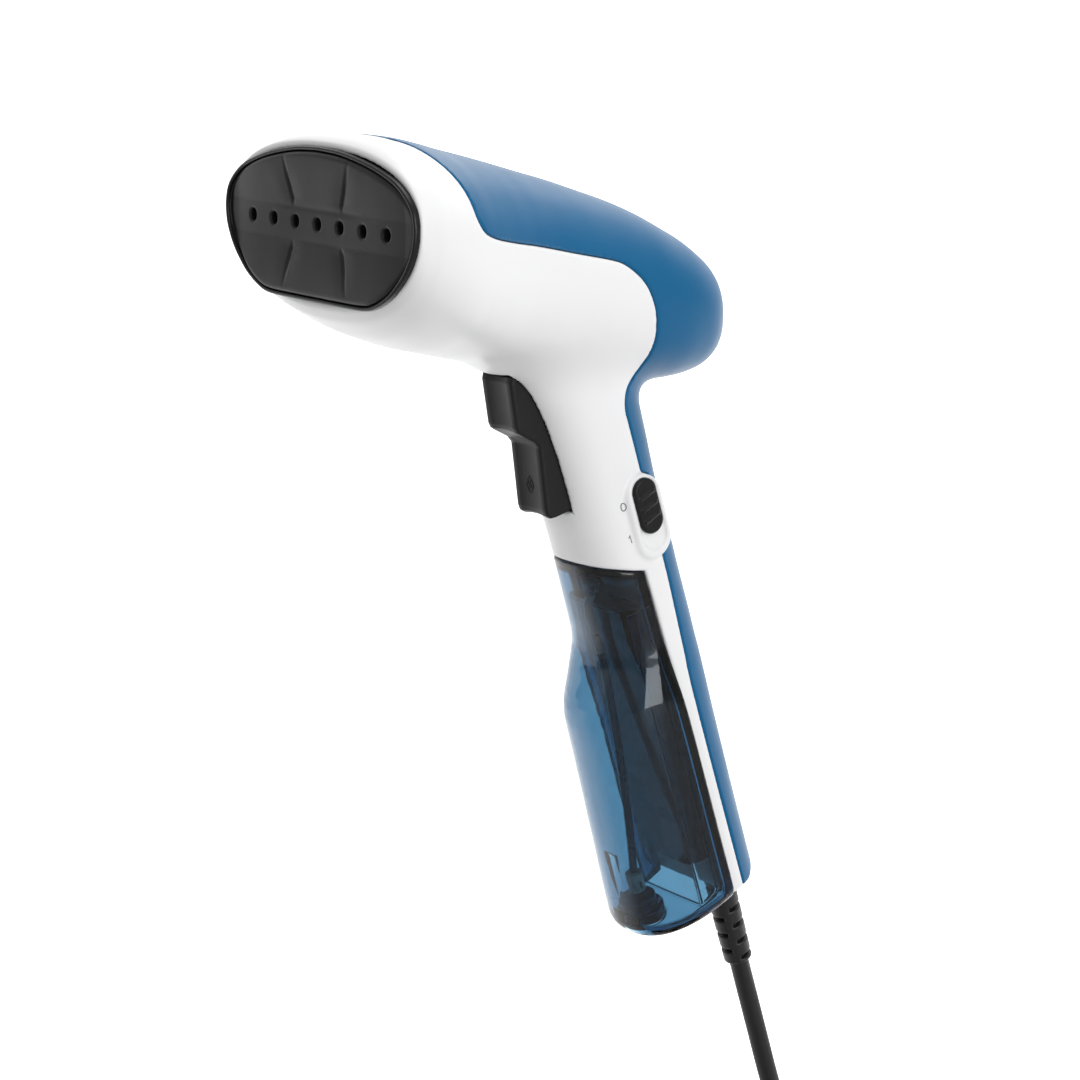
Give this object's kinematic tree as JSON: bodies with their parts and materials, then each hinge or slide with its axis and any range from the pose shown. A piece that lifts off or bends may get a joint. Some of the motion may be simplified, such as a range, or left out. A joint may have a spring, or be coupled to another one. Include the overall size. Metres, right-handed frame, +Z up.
{
  "type": "handheld garment steamer",
  "caption": "Handheld garment steamer with an oval steam plate, trigger, slide switch, removable tinted water tank, boiler and pump inside, and a mains cord coiled below it.",
  "frame": {"origin": "middle of the grip, where the hand closes round the handle", "axes": "+X to the side with the slide switch, +Y away from the steam plate, +Z up; the steam leaves along -Y"},
  "size_m": [0.1601, 0.231, 0.4096],
  "materials": {
    "white_plastic": "glossy",
    "blue_plastic": "glossy",
    "plate_coating": "satin",
    "black_rubber": "matt",
    "cast_aluminium": "as cast",
    "element_steel": "satin",
    "red_silicone": "matt",
    "screw_steel": "satin",
    "cream_ceramic": "satin",
    "dark_plastic": "satin",
    "mica": "satin",
    "natural_plastic": "satin",
    "silicone_hose": "satin",
    "black_plastic": "satin",
    "wire_brown": "satin",
    "wire_blue": "satin",
    "core_plastic": "satin",
    "tank_clear": "clear tinted",
    "plug_rubber": "matt",
    "cord_black": "satin",
    "pin_steel": "bright"
  },
  "bodies": {
    "housing": {"front_housing": "white_plastic", "rear_cover": "blue_plastic", "steam_plate": "plate_coating", "plate_rim": "black_rubber", "boiler_body": "cast_aluminium", "heating_element": "element_steel", "lid_seal": "red_silicone", "boiler_lid": "cast_aluminium", "lid_screws": "screw_steel", "thermostat": "cream_ceramic", "thermal_fuse": "cream_ceramic", "boiler_cradle": "dark_plastic", "cradle_screws": "screw_steel", "heat_shield": "mica", "pump_frame": "screw_steel", "pump_coil": "dark_plastic", "pump_tube": "natural_plastic", "pump_spring": "screw_steel", "check_valve": "natural_plastic", "inlet_hose": "silicone_hose", "outlet_hose": "silicone_hose", "inner_chassis": "dark_plastic", "micro_switch": "dark_plastic", "trigger_pin": "screw_steel", "switch_body": "dark_plastic", "terminal_block": "cream_ceramic", "wire_brown": "wire_brown", "wire_blue": "wire_blue", "cover_screws": "screw_steel", "tank_spigot": "dark_plastic", "spigot_seal": "red_silicone", "cord_clamp": "dark_plastic", "clamp_screws": "screw_steel", "strain_relief": "black_rubber", "power_cord": "cord_black", "cord_coil": "cord_black", "cord_tie": "dark_plastic", "cord_tail": "cord_black", "plug_body": "black_rubber", "plug_pins": "pin_steel"},
    "trigger": {"trigger": "black_plastic", "trigger_spring": "screw_steel"},
    "plunger": {"micro_plunger": "red_silicone"},
    "power_slider": {"power_knob": "black_plastic", "knob_lever": "natural_plastic"},
    "tank": {"tank_shell": "tank_clear", "tank_core": "core_plastic", "pickup_tube": "silicone_hose", "pickup_filter": "natural_plastic"},
    "filler": {"filler_plug": "plug_rubber"},
    "piston": {"pump_piston": "screw_steel"}
  },
  "joints": [
    {"name": "trigger_swing", "type": "hinge", "parent": "housing", "child": "trigger", "pos_m": [0, -0.03501, 0.06292], "axis": [1, 0, 0], "range_deg": [0, 4.5], "stiffness_Nm_per_rad": 0.5, "springref_deg": -3.44},
    {"name": "micro_push", "type": "slide", "parent": "housing", "child": "plunger", "axis": [0, 0.9426, 0.3338], "range_m": [0, 0.0022]},
    {"name": "power_slide", "type": "slide", "parent": "housing", "child": "power_slider", "axis": [0, 0.3338, -0.9426], "range_m": [0, 0.0055]},
    {"name": "tank_pull", "type": "slide", "parent": "housing", "child": "tank", "axis": [0, 0.3338, -0.9426], "range_m": [0, 0.1]},
    {"name": "filler_pull", "type": "slide", "parent": "tank", "child": "filler", "axis": [0, 0.3338, -0.9426], "range_m": [0, 0.012]},
    {"name": "piston_stroke", "type": "slide", "parent": "housing", "child": "piston", "axis": [0, 0.9703, -0.2419], "range_m": [0, 0.006], "stiffness_N_per_m": 150}
  ],
  "couplings": [
    {"joint": "micro_push", "follows": "trigger_swing", "m_per_rad": 0.026}
  ]
}
